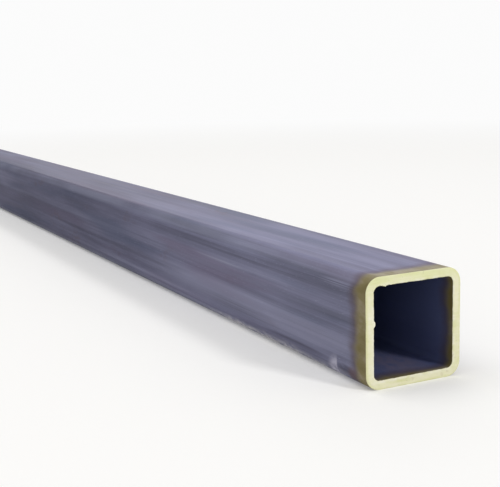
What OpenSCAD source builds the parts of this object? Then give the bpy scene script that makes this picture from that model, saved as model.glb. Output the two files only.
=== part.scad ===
// Square steel tube: one length of cold-formed, seam-welded hollow section with saw-cut ends.
// It lies along X with the seam wall facing -Y, and Z = 0 is the surface that it rests on.

/* [Section] */
// Outside width of the section, across Y
section_w = 50; // [30:1:120]
// Outside height of the section, along Z
section_h = 50; // [30:1:120]
// Thickness of the wall
wall = 4; // [2:0.5:8]
// Inside radius that the strip is bent to at the corners
bend_r = 3; // [0.5:0.5:6]

/* [Length] */
// Length of the stock between its two saw cuts
stock_length = 1000; // [250:50:12000]

/* [Weld seam] */
// How far the bead stands out of the inside wall
bead_h = 1; // [0.4:0.1:2]
// Width of the bead where it meets the wall
bead_w = 3.2; // [2:0.2:6]
// Height of the seam above the middle of its wall
seam_offset = 4.5; // [-8:0.5:8]

/* [Finish] */
// Colour of the mill scale
scale_colour = "#5c5f70"; // [#5c5f70:Slate, #3c3e46:Black, #8a8d94:Pickled grey]

/* [Hidden] */
$fn = 64;

// The wall keeps its thickness round the bends
corner_r = bend_r + wall;
bore_w = section_w - 2 * wall;
bore_h = section_h - 2 * wall;

// The bead is a circular segment, with its radius from its height and width
bead_r = (bead_w * bead_w / 4 + bead_h * bead_h) / (2 * bead_h);
bead_centre = -bore_w / 2 + bead_h - bead_r;

// Rectangle with round corners, centred on the origin
module rounded_rectangle(w, h, r) {
    square([w - 2 * r, h], center = true);
    square([w, h - 2 * r], center = true);
    for (x = [-1, 1], y = [-1, 1])
        translate([x * (w / 2 - r), y * (h / 2 - r)])
            circle(r = r);
}

// Outline of the bore, which leaves the weld bead standing on the seam wall
module bore_outline() {
    difference() {
        rounded_rectangle(bore_w, bore_h, bend_r);
        translate([bead_centre, seam_offset])
            circle(r = bead_r);
    }
}

// Cross-section of the tube, centred on its own axis
module tube_section() {
    difference() {
        rounded_rectangle(section_w, section_h, corner_r);
        bore_outline();
    }
}

module tube() {
    color(scale_colour)
        translate([0, 0, section_h / 2])
            rotate([90, 0, 90])
                linear_extrude(height = stock_length, center = true)
                    tube_section();
}

tube();
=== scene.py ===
import math

import bpy
import numpy as np
from mathutils import Matrix, Vector


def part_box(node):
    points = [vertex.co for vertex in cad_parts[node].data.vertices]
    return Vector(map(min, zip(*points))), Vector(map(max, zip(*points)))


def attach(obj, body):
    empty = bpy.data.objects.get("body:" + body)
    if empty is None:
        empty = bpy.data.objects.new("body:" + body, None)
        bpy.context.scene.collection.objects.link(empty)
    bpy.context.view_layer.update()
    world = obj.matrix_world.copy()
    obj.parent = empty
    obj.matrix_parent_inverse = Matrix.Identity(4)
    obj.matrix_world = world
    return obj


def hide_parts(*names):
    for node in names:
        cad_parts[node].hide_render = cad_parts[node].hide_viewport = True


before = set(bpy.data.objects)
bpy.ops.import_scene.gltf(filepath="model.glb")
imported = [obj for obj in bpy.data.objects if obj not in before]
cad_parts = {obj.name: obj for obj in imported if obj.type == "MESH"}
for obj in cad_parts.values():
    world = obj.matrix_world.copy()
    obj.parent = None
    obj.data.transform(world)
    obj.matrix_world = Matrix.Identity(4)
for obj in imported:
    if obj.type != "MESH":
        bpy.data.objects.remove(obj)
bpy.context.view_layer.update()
mm = 0.001               # Blender works in metres, lengths below are in mm where nothing else is said
tubeLow, tubeHigh = (np.array(corner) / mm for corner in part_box("tube"))
tubeSize = tubeHigh - tubeLow
halfLength = tubeSize[0] / 2
frontCut = np.array([tubeHigh[0], *(tubeLow + tubeHigh)[1:] / 2])     # its middle


def hexColour(code):
    # sRGB hex to the linear colour that a socket takes, by the curve of the sRGB standard
    srgb = np.array([int(code[i:i + 2], 16) for i in (1, 3, 5)]) / 255
    linear = np.where(srgb <= 0.04045, srgb / 12.92, ((srgb + 0.055) / 1.055) ** 2.4)
    return (*linear.tolist(), 1.0)


def addNode(tree, kind, settings=None, links=None):
    # settings: the node's own fields, or values of its sockets by name or number
    # links: what feeds a socket, an output or a node; a node stands for its first output in use
    node = tree.nodes.new(kind)
    for key, value in (settings or {}).items():
        if isinstance(key, int) or key in node.inputs:
            node.inputs[key].default_value = value
        else:
            setattr(node, key, value)
    for key, source in (links or {}).items():
        if isinstance(source, bpy.types.Node):
            source = next(output for output in source.outputs if output.enabled)
        tree.links.new(source, node.inputs[key])
    return node


def startMaterial(name):
    # New material, its nodes, and the place on the object that its patterns follow
    material = bpy.data.materials.new(name)
    material.use_nodes = True
    tree = material.node_tree
    return material, tree, addNode(tree, "ShaderNodeTexCoord").outputs["Object"]


def addObject(name, data):
    # New object in the scene, at the origin
    added = bpy.data.objects.new(name, data)
    bpy.context.scene.collection.objects.link(added)
    return added


# camera

cameraView = {
    "fromCut": (347, -252, 114),   # from the middle of the front cut
    "azimuth": 63.5,               # degrees, round from the -Y side towards +X
    "elevation": 10.0,
    "roll": -1.5,
    "focalPixels": 1000,           # focal length in pixels of a picture this wide
    "pictureWidth": 500,
    "sensorWidth": 36.0,
}


def makeCamera(view):
    # Looks back along its azimuth and elevation, rolled about that line
    data = bpy.data.cameras.new("camera")
    data.sensor_width = view["sensorWidth"]
    data.lens = view["focalPixels"] / view["pictureWidth"] * view["sensorWidth"]
    camera = addObject("camera", data)
    azimuth, elevation, roll = (math.radians(view[key]) for key in ("azimuth", "elevation", "roll"))
    back = Vector((
        math.sin(azimuth) * math.cos(elevation),
        -math.cos(azimuth) * math.cos(elevation),
        math.sin(elevation),
    ))
    turn = (-back).to_track_quat("-Z", "Y").to_matrix() @ Matrix.Rotation(roll, 3, "Z")
    camera.location = (frontCut + view["fromCut"]) * mm
    camera.rotation_mode = "QUATERNION"
    camera.rotation_quaternion = turn.to_quaternion()
    bpy.context.scene.camera = camera


makeCamera(cameraView)
print("camera set")

# tube

tubeShape = {
    "wall": 4.0,
    "cornerRadius": 7.0,          # outside; the wall keeps its thickness round the bend
    "seamRise": 4.5,              # of the weld above the middle of its wall
    "beadHeight": 1.0,
    "beadWidth": 3.2,
    "beadUnevenness": 0.18,       # share of the bead's height
    "beadWaves": ([31, 67, 151, 290], 3),   # waves in twice the tube's length, and seed
    "scarfDepth": 0.09,           # shallow track of the tool that trims the weld flush outside
    "scarfWidth": 2.0,
    "scarfUnevenness": 0.2,       # share of the track's depth
    "scarfWaves": ([9, 23, 40], 4),
    "cutEdge": 0.3,               # radius that the paint leaves on the edges of the cut
    "raggedness": 0.09,           # waviness of the bore's edge at the cut
    "raggedMiddle": 0.6,          # what the waves swing about, in shares of the raggedness
    "raggedWaves": [23, 37, 58, 91, 140],   # waves once round the section
    "tear": 0.25,                 # share of a burr's height that is torn
    "tearWaves": [130, 190],
    "burrReach": 1.6,             # how far a burr runs back from the cut
    # the two cuts: side, seeds of the ragged edge and the torn burrs, and the burrs on the bore's edge, each
    # with its wall, place from the wall's middle, half width and height; places count upwards on the seam
    # wall and go on round the same way
    "cuts": {
        "front": {
            "side": 1,
            "seeds": (11, 31),
            "burrs": [
                ("top", -15.3, 0.8, 0.85),
                ("top", -11.8, 0.7, 0.25),
                ("top", 3.5, 1.4, 0.2),
                ("seam", 9.5, 2.2, 0.25),
            ],
        },
        "rear": {
            "side": -1,
            "seeds": (12, 32),
            "burrs": [
                ("bottom", 7, 1.2, 0.7),
                ("bottom", 10.5, 0.9, 0.45),
                ("top", 9, 1.6, 0.35),
                ("plain", 4, 2.4, 0.3),
            ],
        },
    },
    "boreShare": 0.55,            # of the wall, over which the bead and burrs fade towards the outside
    "outsideShare": 0.3,          # of the wall, over which the track fades towards the bore
    "flatSteps": 72,              # faces across a flat
    "cornerSteps": 14,            # faces round a bend
    "lengthSteps": 32,            # faces from a cut to the middle of the length
    "edgeSteps": 4,               # faces round an edge of the cut
    "rimSteps": 9,                # faces across the rest of the cut
    "endCrowding": 2.5,           # power that crowds the faces towards the cuts
}


def sectionPath(shape):
    # Round the outside of the section: four flats, each followed by its bend. On a flat the centre slides
    # from one bend's centre to the next, in a bend the normal turns a quarter;
    # point = centre + radius * normal.
    walls = ("seam", "top", "plain", "bottom")
    flat = np.arange(1, shape["flatSteps"]) / shape["flatSteps"]
    bend = np.arange(shape["cornerSteps"] + 1) / shape["cornerSteps"]
    slide = np.concatenate([flat, np.ones_like(bend)])
    turn = np.concatenate([np.zeros_like(flat), bend])
    angle = math.pi - (np.arange(len(walls))[:, None] + turn) * math.pi / 2
    normal = np.stack([np.cos(angle), np.sin(angle)], -1)
    reach = tubeSize[1:] / 2 - shape["cornerRadius"]
    bendCentre = frontCut[1:] + reach * np.array([(-1, 1), (1, 1), (1, -1), (-1, -1)])
    before, after = np.roll(bendCentre, 1, 0)[:, None], bendCentre[:, None]
    centre = (1 - slide[:, None]) * before + slide[:, None] * after
    outside = (centre + shape["cornerRadius"] * normal).reshape(-1, 2)
    steps = np.linalg.norm(np.diff(outside, axis=0, append=outside[:1]), axis=1)
    halfFlat = reach[[1, 0, 1, 0]][:, None]      # upright and level walls in turn
    fromMiddle = np.where(turn > 0, np.inf, (2 * slide - 1) * halfFlat)     # out of reach in a bend
    return {
        "outside": outside,
        "normal": normal.reshape(-1, 2),
        "wall": np.repeat(walls, len(turn)),
        "fromMiddle": fromMiddle.ravel(),
        "bend": np.tile(np.sin(math.pi * turn), len(walls)),
        "travelled": np.concatenate([[0], np.cumsum(steps)]),    # from the start, and all the way round
    }


def wallLoop(shape):
    # Lengthwise round the wall itself: along the outside, over the front cut, back along the bore, over the
    # rear cut. depth is the distance in from the outside; the edges of the cuts are quarter circles.
    edge, wall = shape["cutEdge"], shape["wall"]
    share = np.arange(shape["lengthSteps"] + 1) / shape["lengthSteps"]
    inset = edge + (halfLength - edge) * share ** shape["endCrowding"]
    along = np.concatenate([inset - halfLength, (halfLength - inset)[-2::-1]])
    quarter = np.arange(1, shape["edgeSteps"]) / shape["edgeSteps"] * math.pi / 2
    rim = edge + (wall - 2 * edge) * np.arange(shape["rimSteps"] + 1) / shape["rimSteps"]
    cutX = np.concatenate([
        halfLength - edge + edge * np.sin(quarter),
        np.full(len(rim), halfLength),
        halfLength - edge + edge * np.cos(quarter),
    ])
    cutDepth = np.concatenate([edge - edge * np.cos(quarter), rim, wall - edge + edge * np.sin(quarter)])
    wallFaces, cutFaces = len(along) - 1, len(cutX) + 1
    return {
        "x": np.concatenate([along, cutX, along[::-1], -cutX[::-1]]),
        "depth": np.concatenate([np.zeros(len(along)), cutDepth, np.full(len(along), wall), cutDepth[::-1]]),
        # first face of the outside, the front cut, the bore and the rear cut, and the end
        "starts": np.cumsum([0, wallFaces, cutFaces, wallFaces, cutFaces]),
    }


def alongWall(path, wallName, middle):
    # Distance along one wall from a place on it; infinite on the other walls and in the bends
    return np.where(path["wall"] == wallName, path["fromMiddle"] - middle, np.inf)[:, None]


def ripple(place, period, waves, seed):
    # Mean of sines with whole numbers of waves in the period, so that it closes on itself
    gain = 1.6      # waves partly cancel; this brings their mean to about -1 to 1
    phase = np.random.default_rng(seed).uniform(0, 2 * math.pi, len(waves))
    return np.sin(2 * math.pi * place[..., None] * np.array(waves) / period + phase).mean(-1) * gain


def hump(distance, width):
    # Bell curve of height 1
    return np.exp(-(distance / width) ** 2)


def weldBead(shape, fromSeam, x):
    # Circular segment of the bead's height and width, the height wandering along the tube
    height, width = shape["beadHeight"], shape["beadWidth"]
    radius = (width ** 2 / 4 + height ** 2) / (2 * height)
    segment = np.sqrt(np.maximum(radius ** 2 - fromSeam ** 2, 0)) - (radius - height)
    wander = ripple(x, 4 * halfLength, *shape["beadWaves"])
    return np.maximum(segment, 0) * (1 + shape["beadUnevenness"] * wander)


def trimmedTrack(shape, fromSeam, x):
    # Bell curve across the seam, its depth wandering along the tube
    uneven = shape["scarfUnevenness"]
    wander = ripple(x, 4 * halfLength, *shape["scarfWaves"])
    return shape["scarfDepth"] * hump(fromSeam, shape["scarfWidth"]) * (1 - uneven + uneven * wander)


def raggedEdge(shape, cut, path, x):
    # Waves round the bore's edge plus a torn bell curve for each burr, all fading out down the bore
    place, perimeter = path["travelled"][:-1, None], path["travelled"][-1]
    edgeSeed, tearSeed = cut["seeds"]
    waves = ripple(place, perimeter, shape["raggedWaves"], edgeSeed)
    ragged = shape["raggedness"] * (shape["raggedMiddle"] + waves)
    torn = 1 - shape["tear"] + shape["tear"] * ripple(place, perimeter, shape["tearWaves"], tearSeed)
    for wallName, middle, width, height in cut["burrs"]:
        ragged = ragged + height * torn * hump(alongWall(path, wallName, middle), width)
    return ragged * np.exp(-np.maximum(halfLength - cut["side"] * x, 0) / shape["burrReach"])


bakeStrips = {              # map for baked textures
    "surfaces": {           # from and to, up the map
        "outside": (0.005, 0.535),
        "frontCut": (0.895, 0.940),
        "bore": (0.545, 0.885),
        "rearCut": (0.950, 0.995),
    },
    "evenShare": 0.6,       # of the map's length spread evenly; the rest is crowded towards the cuts
    "crowding": 12,         # power of that crowding
    "margin": 0.005,
}


def bakeMap(mesh, path, loop, strips):
    # Walls: along the tube across the map, and round it up the strip. Cuts: round the tube across the map,
    # and over the wall up the strip. Lengthwise place = even share + crowded share, odd about the middle.
    margin, even = strips["margin"], strips["evenShare"]
    station = np.abs(loop["x"]) / halfLength
    spread = even * station + (1 - even) * station ** strips["crowding"]
    lengthwise = 0.5 + (0.5 - margin) * np.sign(loop["x"]) * spread
    lengthwise = np.append(lengthwise, lengthwise[0])
    roundShare = path["travelled"] / path["travelled"][-1]
    before, after = roundShare[:-1], roundShare[1:]
    around = np.stack([before, before, after, after], -1)[:, None, :]
    face = np.arange(len(loop["x"]))
    corners = np.stack([face, face + 1, face + 1, face], -1)
    places = np.empty((len(before), len(face), 4, 2))
    stretches = zip(loop["starts"][:-1], loop["starts"][1:])
    for (name, (low, high)), (first, last) in zip(strips["surfaces"].items(), stretches):
        if name.endswith("Cut"):
            across = margin + (1 - 2 * margin) * around
            up = (corners[first:last] - first) / (last - first)
        else:
            across = lengthwise[corners[first:last]]
            up = around
        places[:, first:last, :, 0] = across
        places[:, first:last, :, 1] = low + (high - low) * up
    layer = mesh.uv_layers.new(name="OFBake")
    layer.data.foreach_set("uv", places.astype(np.float32).ravel())


def makeTube(shape):
    # Torus-like grid: the section's path one way, the wall's loop the other;
    # point = outside of the section - normal * depth, where the depth carries the weld and the burrs.
    path, loop = sectionPath(shape), wallLoop(shape)
    x, depth, wall = loop["x"][None, :], loop["depth"][None, :], shape["wall"]
    fromSeam = alongWall(path, "seam", shape["seamRise"])
    towardsBore = np.clip(1 - (wall - depth) / (shape["boreShare"] * wall), 0, 1) ** 2
    towardsOutside = np.clip(1 - depth / (shape["outsideShare"] * wall), 0, 1)
    raised = weldBead(shape, fromSeam, x)
    for cut in shape["cuts"].values():
        raised = raised + raggedEdge(shape, cut, path, x)
    shaped = depth + raised * towardsBore + trimmedTrack(shape, fromSeam, x) * towardsOutside

    points = np.empty((*shaped.shape, 3))
    points[..., 0] = x
    points[..., 1:] = path["outside"][:, None, :] - path["normal"][:, None, :] * shaped[..., None]
    here = np.arange(shaped.size).reshape(shaped.shape)
    along, around = np.roll(here, -1, 1), np.roll(here, -1, 0)
    quads = np.stack([here, along, np.roll(along, -1, 0), around], -1).reshape(-1, 4)
    mesh = bpy.data.meshes.new("square_tube")
    mesh.from_pydata((points.reshape(-1, 3) * mm).tolist(), [], quads.tolist())
    mesh.polygons.foreach_set("use_smooth", np.ones(len(quads), bool))
    onCut = np.repeat([0, 1, 0, 1], np.diff(loop["starts"]))     # second material on the two cuts
    mesh.polygons.foreach_set("material_index", np.tile(onCut, len(shaped)).astype(np.int32))
    bakeMap(mesh, path, loop, bakeStrips)

    # what the finishes follow: the bends, the weld's track outside, the bore, the share of the wall's depth
    values = {
        "bend": path["bend"][:, None] * towardsOutside,
        "weldTrack": hump(fromSeam, shape["scarfWidth"]) * towardsOutside,
        "inBore": towardsBore,
        "rimDepth": depth / wall,
    }
    for name, value in values.items():
        layer = mesh.attributes.new(name, "FLOAT", "POINT")
        layer.data.foreach_set("value", np.broadcast_to(value, shaped.shape).astype(np.float32).ravel())
    mesh.update()
    return addObject("square_tube", mesh)


tube = makeTube(tubeShape)
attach(tube, "root")
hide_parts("tube")
print("tube made:", len(tube.data.polygons), "faces")

# finishes


def addPatterns(tree, place, look):
    # Noise with the given sizes along X, Y and Z, turned first where a slant in degrees is given
    found = {}
    for name, (size, detail) in look["patterns"].items():
        turned = place
        if name in look.get("slants", {}):
            slant = [math.radians(angle) for angle in look["slants"][name]]
            turned = addNode(tree, "ShaderNodeVectorRotate", {
                "rotation_type": "EULER_XYZ", "Rotation": slant}, {"Vector": place})
        repeats = 1 / (np.array(size) * mm)     # for each metre
        spread = addNode(tree, "ShaderNodeMapping", {"Scale": repeats}, {"Vector": turned})
        found[name] = addNode(tree, "ShaderNodeTexNoise", {
            "Scale": 1.0, "Detail": detail}, {"Vector": spread})
    return found


def sumPatterns(tree, signal, weights, start=None):
    # Weighted sum of signals, on top of a start where there is one
    total = start
    for name, weight in weights.items():
        links = {0: signal[name]}
        if total:
            links[2] = total
        total = addNode(tree, "ShaderNodeMath", {"operation": "MULTIPLY_ADD", 1: weight, 2: 0.0}, links)
    return total


def layCoats(tree, colour, coats, signal):
    # Colours laid over each other in order: colour, strength, and what each follows, with the value of that
    # where the coat starts and the value where it is full. A coat's mask is its strength times all that it
    # follows, and joins the signals under the coat's name.
    for name, (code, strength, follows) in coats.items():
        mask = None
        for source, start, full in follows:
            links = {"Value": signal[source]}
            if mask:
                links["To Max"] = mask
            mask = addNode(tree, "ShaderNodeMapRange", {
                "interpolation_type": "SMOOTHSTEP",
                "From Min": start,
                "From Max": full,
                "To Max": strength,
            }, links)
        signal[name] = mask
        colour = addNode(tree, "ShaderNodeMix", {
            "data_type": "RGBA", 7: hexColour(code)}, {0: mask, 6: colour})
    return colour


def colourFinish(tree, look, signal, start=None):
    # Tone summed from the patterns, shades along that tone, and the coats over them
    tone = sumPatterns(tree, signal, look["toneFrom"], start)
    ramp = addNode(tree, "ShaderNodeValToRGB", None, {0: tone})
    stops = ramp.color_ramp.elements
    for position, code in look["shades"].items():
        stops.new(position).color = hexColour(code)
    stops.remove(stops[0])       # black and white, which a ramp starts with
    stops.remove(stops[-1])
    return tone, layCoats(tree, ramp, look["coats"], signal)


millScale = {
    # noise patterns: size along X, Y and Z, and detail
    "patterns": {
        "streak": ((230, 2.2, 2.2), 3),
        "hairline": ((120, 0.7, 0.7), 2),      # coarser than real roll marks, so that they show
        "band": ((500, 9, 9), 2),
        "blotch": ((110, 11, 11), 4),
        "zone": ((240, 11, 11), 2),
        "tint": ((200, 15, 15), 2),
        "run": ((90, 300, 300), 3),
        "stain": ((60, 22, 22), 4),
        "mottle": ((5, 3, 3), 4),
        "drip": ((16, 8, 8), 3),
        "scratch": ((26, 0.35, 0.35), 1),      # wider than real scratches, so that they show
    },
    "slants": {"scratch": (0, 9, 6)},
    "toneFrom": {"band": 0.38, "blotch": 0.45, "hairline": 0.17},
    "swingZone": (0.36, 0.64),     # streaks are faint in some zones and strong in others
    "streakSwing": (0.08, 0.46),
    "shades": {0.30: "#535463", 0.42: "#656678", 0.51: "#74758a", 0.60: "#818298", 0.72: "#9899af"},
    "filmLength": 8.0,             # end paint carried round the edge, back from the cut
    "filmLengthInBore": 3.5,
    "filmWander": 4.0,             # how far its edge wanders
    # marked places, of scuffs, rust, dust, painted highlights and painted shade: centre from the middle of
    # the front cut, then half the size along, through and up
    "markedPlaces": {
        "endScuff": ((-24.5, -24, -21.5), (8, 4.5, 8)),
        "endShade": ((-17, -24.5, -19.0), (8, 4, 3)),
        "endCorner": ((-11, -23, -20.5), (6, 6, 6)),
        # place of a painted highlight below the upper bend
        "highHighlightPlace": ((-24, -24.5, 19), (17, 4, 1.8)),
        # place of dust and a painted reflection along the lower bend
        "lowBendStrip": ((-82, -23, -22), (94, 5, 3.8)),
        "lowerSide": ((-120, -25, -8.5), (190, 4, 9)),
        "lowShade": ((-62, -25, -17.4), (40, 4, 1.7)),
        "sideScuff": ((-150, -25, 9), (40, 4, 1.4)),
        "boreFloor": ((-14, 3, -21), (34, 15, 4)),
    },
    "coats": {
        "warmTint": ("#6e6377", 0.45, [("tint", 0.52, 0.68)]),
        "coolTint": ("#535f76", 0.45, [("tint", 0.48, 0.33)]),
        # painted shade: darker towards the middle of the length, standing in for dimmer reflections far from
        # the cuts
        "paintedMidShade": ("#2b2d38", 0.42, [("inset", 130, 420)]),
        # wear on the bends, partly a painted highlight along them
        "bendWearAndHighlight": ("#9c9fb0", 0.36, [("bend", 0.3, 1.0), ("run", 0.20, 0.66)]),
        "trimmedWeld": ("#777a8d", 0.25, [("weldTrack", 0.1, 1.0)]),
        "scratches": ("#9a9dae", 0.35, [("scratch", 0.66, 0.76)]),
        "stainRust": ("#5e4a41", 0.4, [("stain", 0.58, 0.74), ("mottle", 0.40, 0.60)]),
        # painted light: the lower side lightened as if by reflection of the bright floor
        "paintedLowerSideLight": ("#9fa0b6", 0.36, [("lowerSide", 1.0, 0.4), ("streak", 0.14, 0.50)]),
        # painted shade: a dark line low on the side, above the lower bend
        "paintedLowShade": ("#3a3b46", 0.5, [("lowShade", 1.0, 0.3), ("streak", 0.34, 0.52)]),
        "endShadow": ("#33343b", 0.45, [("endShade", 1.0, 0.4), ("mottle", 0.20, 0.50)]),
        "endRub": ("#cbc8d6", 0.8, [("endScuff", 1.1, 0.3), ("mottle", 0.22, 0.56), ("inset", 23.5, 24.5)]),
        # painted highlight: a light strip high on the side near the cut
        "paintedHighHighlight": ("#a3a4ba", 0.5, [("highHighlightPlace", 1.2, 0.0), ("hairline", 0.32, 0.60)]),
        # dust on the lower bend, lightened further as a painted reflection of the bright floor
        "dustAndFloorReflection": ("#cbc8c8", 0.9, [
            ("lowBendStrip", 1.1, 0.35), ("blotch", 0.32, 0.54), ("mottle", 0.34, 0.58), ("inset", 12.0, 17.0)]),
        "sideRub": ("#9c9fb0", 0.4, [("sideScuff", 1.0, 0.3), ("hairline", 0.40, 0.60)]),
        "boreScale": ("#57618c", 0.85, [("inBore", 0.2, 0.9)]),
        # lighter and warmer colour on the bore's floor near the cut
        "boreFloorWarmth": ("#8a7f90", 0.45, [("boreFloor", 1.0, 0.3), ("mottle", 0.20, 0.60)]),
        "endRust": ("#554440", 0.58, [("filmEdge", 8.0, 0.5)]),
        "cornerRust": ("#6d5650", 0.55, [("endCorner", 1.0, 0.3), ("mottle", 0.25, 0.55)]),
        "paintFilm": ("#7a6f42", 0.94, [("filmEdge", 3.0, -3.5)]),
        "thickFilm": ("#6a5f31", 0.7, [("filmEdge", 0.0, -4.0), ("drip", 0.50, 0.38)]),
        "rubbedFilm": ("#958a72", 0.6, [("filmEdge", 2.0, -3.0), ("drip", 0.50, 0.62)]),
    },
    "roughness": 0.33,             # least, and what adds to it
    "roughnessFrom": {
        "streak": 0.16, "paintFilm": 0.12, "endRub": 0.15, "dustAndFloorReflection": 0.20, "boreScale": 0.15},
    "metallic": 0.85,
    "metallicInBore": 0.3,
    "edgeTint": "#b4b2bd",         # scale stays dark where it is seen at a slant
    "dulledBy": {"paintFilm": 0.9, "dustAndFloorReflection": 0.9},   # coats that hide the metallic look, and by what share
    "bumpStrength": 0.3,
    "bumpDepth": 0.2,
}


def makeMillScale(look):
    # Blue mill scale, the oxide skin of hot-rolled strip, drawn out in streaks by the forming rolls: a dark
    # satin that mirrors its surroundings like a dull metal, rubbed brighter on the bends and rusting by
    # the cuts. Some coats paint light and shade into its colour: a highlight along the bends and high on the
    # side, a lighter lower side and lower bend, a dark line low on the side and a darker middle of the
    # length.
    material, tree, place = startMaterial("mill scale on rolled steel")
    signal = addPatterns(tree, place, look)
    for name in ("bend", "weldTrack", "inBore"):
        signal[name] = addNode(tree, "ShaderNodeAttribute", {"attribute_name": name}).outputs["Fac"]
    for name, (centre, size) in look["markedPlaces"].items():
        local = addNode(tree, "ShaderNodeMapping", {
            "vector_type": "TEXTURE",
            "Location": (frontCut + centre) * mm,
            "Scale": np.array(size) * mm,
        }, {"Vector": place})
        signal[name] = addNode(tree, "ShaderNodeVectorMath", {"operation": "LENGTH"}, {0: local})

    # distance from the nearer cut in mm, and how far past the wandering edge of the end paint
    axes = addNode(tree, "ShaderNodeSeparateXYZ", None, {"Vector": place})
    fromMiddle = addNode(tree, "ShaderNodeMath", {"operation": "ABSOLUTE"}, {0: axes.outputs["X"]})
    signal["inset"] = addNode(tree, "ShaderNodeMath", {
        "operation": "MULTIPLY_ADD", 1: -1 / mm, 2: halfLength}, {0: fromMiddle})
    film, wander = look["filmLength"], look["filmWander"]
    edge = addNode(tree, "ShaderNodeMath", {
        "operation": "MULTIPLY_ADD", 1: 2 * wander, 2: -wander - film}, {0: signal["drip"]})
    pastEdge = addNode(tree, "ShaderNodeMath", {"operation": "ADD"}, {0: signal["inset"], 1: edge})
    signal["filmEdge"] = addNode(tree, "ShaderNodeMath", {
        "operation": "MULTIPLY_ADD", 1: film - look["filmLengthInBore"]}, {0: signal["inBore"], 2: pastEdge})

    # tone: streaks about 0.5, the middle of their noise, times their swing in that zone, plus other patterns
    zoneLow, zoneHigh = look["swingZone"]
    faint, strong = look["streakSwing"]
    swing = addNode(tree, "ShaderNodeMapRange", {
        "From Min": zoneLow, "From Max": zoneHigh, "To Min": faint, "To Max": strong}, {
        "Value": signal["zone"]})
    aboutMiddle = addNode(tree, "ShaderNodeMath", {"operation": "SUBTRACT", 1: 0.5}, {0: signal["streak"]})
    streaks = addNode(tree, "ShaderNodeMath", {"operation": "MULTIPLY"}, {0: aboutMiddle, 1: swing})
    tone, colour = colourFinish(tree, look, signal, streaks)

    rough = sumPatterns(tree, signal, look["roughnessFrom"])
    rough = addNode(tree, "ShaderNodeMath", {"operation": "ADD", 1: look["roughness"]}, {0: rough})
    metal = addNode(tree, "ShaderNodeMapRange", {
        "To Min": look["metallic"], "To Max": look["metallicInBore"]}, {"Value": signal["inBore"]})
    for name, share in look["dulledBy"].items():
        bare = addNode(tree, "ShaderNodeMapRange", {
            "To Min": 1.0, "To Max": 1 - share}, {"Value": signal[name]})
        metal = addNode(tree, "ShaderNodeMath", {"operation": "MULTIPLY"}, {0: metal, 1: bare})
    bump = addNode(tree, "ShaderNodeBump", {
        "Strength": look["bumpStrength"], "Distance": look["bumpDepth"] * mm}, {"Height": tone})
    shader = tree.nodes["Principled BSDF"]
    shader.inputs["Specular Tint"].default_value = hexColour(look["edgeTint"])
    tree.links.new(colour.outputs["Result"], shader.inputs["Base Color"])
    tree.links.new(rough.outputs["Value"], shader.inputs["Roughness"])
    tree.links.new(metal.outputs["Value"], shader.inputs["Metallic"])
    tree.links.new(bump.outputs["Normal"], shader.inputs["Normal"])
    return material


cutPaint = {
    # noise patterns: size along X, Y and Z, and detail
    "patterns": {
        "patch": ((20, 20, 20), 2),
        "fleck": ((4, 4, 4), 3),
        "stroke": ((1.3, 16, 1.3), 3),
        "chip": ((1.1, 1.1, 1.1), 2),
    },
    "toneFrom": {"patch": 0.45, "fleck": 0.25, "stroke": 0.30},
    "shades": {0.32: "#d2d194", 0.42: "#dddcae", 0.52: "#e5e2c0", 0.66: "#ebe7d0"},
    "coats": {
        "edgeRun": ("#d0d18a", 0.5, [("rimDepth", 0.45, 0.05), ("patch", 0.40, 0.58)]),
        # painted light: the top of the cut greener, as light from above makes it look
        "paintedTopLight": ("#d9e09c", 0.3, [("height", 14, 24), ("fleck", 0.30, 0.52)]),
        "boreEdge": ("#efecdc", 0.5, [("rimDepth", 0.60, 0.95), ("fleck", 0.40, 0.58)]),
        "thinPaint": ("#bdb48a", 0.5, [("fleck", 0.60, 0.72), ("patch", 0.54, 0.40)]),
        "chips": ("#7d775f", 0.25, [("chip", 0.70, 0.77)]),
    },
    "sawSpacing": 0.8,          # coarser than real saw marks, so that they show
    "sawTilt": 12,              # degrees from level
    "sawWander": 1.5,
    "sawShare": 0.5,            # of the relief, beside the paint's own unevenness
    "bumpStrength": 0.35,
    "bumpDepth": 0.1,
    "roughness": 0.5,
}


def makeCutPaint(look):
    # Marking paint brushed over the saw cut: a thin pale yellow coat with a dull shine, run thick and greener
    # at the outer edge, thin and chipped elsewhere, uneven over the saw marks; greener towards the top as
    # painted light from above.
    material, tree, place = startMaterial("marking paint on saw cut")
    signal = addPatterns(tree, place, look)
    signal["rimDepth"] = addNode(tree, "ShaderNodeAttribute", {"attribute_name": "rimDepth"}).outputs["Fac"]
    axes = addNode(tree, "ShaderNodeSeparateXYZ", None, {"Vector": place})
    signal["height"] = addNode(tree, "ShaderNodeMath", {      # mm above the middle of the cut
        "operation": "MULTIPLY_ADD", 1: 1 / mm, 2: -frontCut[2]}, {0: axes.outputs["Z"]})
    tone, colour = colourFinish(tree, look, signal)

    # saw marks: a wave node has a band every pi / 10 of its scaled place
    bands = math.pi / 10 / (look["sawSpacing"] * mm)
    tilt = math.radians(look["sawTilt"])
    tilted = addNode(tree, "ShaderNodeMapping", {"Rotation": (tilt, 0, 0)}, {"Vector": place})
    saw = addNode(tree, "ShaderNodeTexWave", {
        "bands_direction": "Z", "Scale": bands, "Distortion": look["sawWander"]}, {"Vector": tilted})
    relief = addNode(tree, "ShaderNodeMath", {
        "operation": "MULTIPLY_ADD", 1: look["sawShare"]}, {0: saw.outputs["Fac"], 2: tone})
    bump = addNode(tree, "ShaderNodeBump", {
        "Strength": look["bumpStrength"], "Distance": look["bumpDepth"] * mm}, {"Height": relief})
    shader = tree.nodes["Principled BSDF"]
    shader.inputs["Roughness"].default_value = look["roughness"]
    tree.links.new(colour.outputs["Result"], shader.inputs["Base Color"])
    tree.links.new(bump.outputs["Normal"], shader.inputs["Normal"])
    return material


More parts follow.
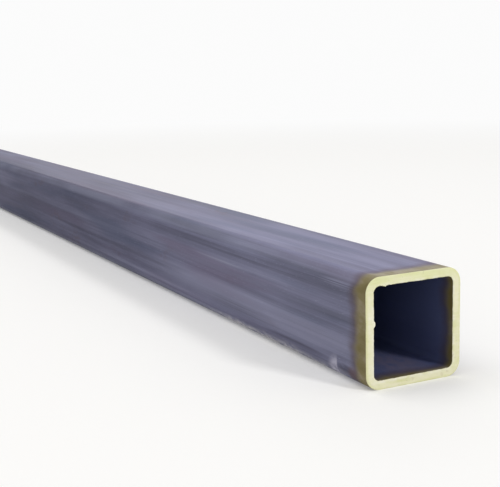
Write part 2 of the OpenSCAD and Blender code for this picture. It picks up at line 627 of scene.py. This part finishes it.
tube.data.materials.append(makeMillScale(millScale))
tube.data.materials.append(makeCutPaint(cutPaint))
print("finishes made")

# floor, world and lamps

studio = {
    "floor": "#ecebe9",
    "floorRadius": 14.0,        # metres
    "rings": 7,
    "spokes": 64,
    "fadeFrom": 0.70,           # metres from the middle, where the floor starts to fade into the backdrop
    "fadeTo": 1.8,
    "backdrop": 0.97,           # just under white
    "floorLift": 0.18,          # white added for the camera and for reflections
    "worldLevel": 0.5,          # what lights the object
}


def addSeen(tree):
    # 1 for rays from the camera, from mirror-like reflections and through glass
    path = addNode(tree, "ShaderNodeLightPath")
    seen = addNode(tree, "ShaderNodeMath", {"operation": "MAXIMUM"}, {
        0: path.outputs["Is Camera Ray"], 1: path.outputs["Is Glossy Ray"]})
    return addNode(tree, "ShaderNodeMath", {"operation": "MAXIMUM"}, {
        0: seen, 1: path.outputs["Is Transmission Ray"]})


def makeBoard(look):
    # Matt studio board, which shows shadows and no shine: lifted towards white where it is seen, and all
    # backdrop further out
    material, tree, place = startMaterial("matt studio board")
    tree.nodes.remove(tree.nodes["Principled BSDF"])
    away = addNode(tree, "ShaderNodeVectorMath", {"operation": "LENGTH"}, {0: place})
    fade = addNode(tree, "ShaderNodeMapRange", {
        "interpolation_type": "SMOOTHSTEP", "From Min": look["fadeFrom"], "From Max": look["fadeTo"]}, {
        "Value": away})
    seen = addSeen(tree)
    lift = addNode(tree, "ShaderNodeMath", {"operation": "MULTIPLY", 1: look["floorLift"]}, {0: seen})
    lit = addNode(tree, "ShaderNodeBsdfDiffuse", {"Color": hexColour(look["floor"])})
    glow = addNode(tree, "ShaderNodeEmission", None, {"Strength": lift})
    near = addNode(tree, "ShaderNodeAddShader", None, {0: lit, 1: glow})
    far = addNode(tree, "ShaderNodeEmission", {"Strength": look["backdrop"]})
    share = addNode(tree, "ShaderNodeMath", {"operation": "MULTIPLY"}, {0: fade, 1: seen})
    mixed = addNode(tree, "ShaderNodeMixShader", None, {0: share, 1: near, 2: far})
    tree.links.new(mixed.outputs[0], tree.nodes["Material Output"].inputs["Surface"])
    return material


def makeFloor(look):
    # Disc of rings, wider further out: radius times the cosine and sine of the angle; the innermost one is
    # a single face
    rings, spokes = look["rings"], look["spokes"]
    radius = (np.arange(1, rings + 1)[:, None] / rings) ** 2 * look["floorRadius"]
    angle = np.arange(spokes) / spokes * 2 * math.pi
    points = np.stack([radius * np.cos(angle), radius * np.sin(angle), np.zeros((rings, spokes))], -1)
    here = np.arange(rings * spokes).reshape(rings, spokes)
    after = np.roll(here, -1, 1)
    quads = np.stack([here[:-1], here[1:], after[1:], after[:-1]], -1).reshape(-1, 4)
    mesh = bpy.data.meshes.new("floor")
    mesh.from_pydata(points.reshape(-1, 3).tolist(), [], [here[0].tolist(), *quads.tolist()])
    mesh.materials.append(makeBoard(look))
    floor = addObject("floor", mesh)


def makeWorld(look):
    # White all round, brighter where it is seen than where it lights
    world = bpy.data.worlds.new("studio")
    bpy.context.scene.world = world
    world.use_nodes = True
    tree = world.node_tree
    level = addNode(tree, "ShaderNodeMapRange", {
        "To Min": look["worldLevel"], "To Max": look["backdrop"]}, {"Value": addSeen(tree)})
    background = tree.nodes["Background"]
    background.inputs["Color"].default_value = (1, 1, 1, 1)
    tree.links.new(level.outputs["Result"], background.inputs["Strength"])


lampRig = {
    # direction from the middle of the front half, distance and size in metres, watts
    "key": ((1.0, 0.36, 0.62), 6.0, 0.85, 135),       # on the cut and into the bore
    "top": ((-0.25, -0.35, 1.0), 3.5, 2.4, 30),       # soft, from above
    "fill": ((0.8, -0.58, 0.26), 5.0, 1.6, 12),       # weak, into the bore
    "back": ((-0.82, 0.52, 0.34), 6.0, 4.2, 55),      # low, shines on the top
}


def makeLamps(rig):
    # Square lamps that face the floor under the middle of the front half; the camera doesn't see them
    aim = Vector((tubeHigh[0] / 2 * mm, 0, 0))
    for name, (direction, distance, size, watts) in rig.items():
        data = bpy.data.lights.new(name, "AREA")
        data.size = size
        data.energy = watts
        light = addObject(name, data)
        light.visible_camera = False
        towards = Vector(direction).normalized()
        light.location = aim + towards * distance
        light.rotation_mode = "QUATERNION"
        light.rotation_quaternion = (-towards).to_track_quat("-Z", "Y")


makeFloor(studio)
makeWorld(studio)
makeLamps(lampRig)
bpy.context.scene.view_settings.view_transform = "Standard"
print("studio set")
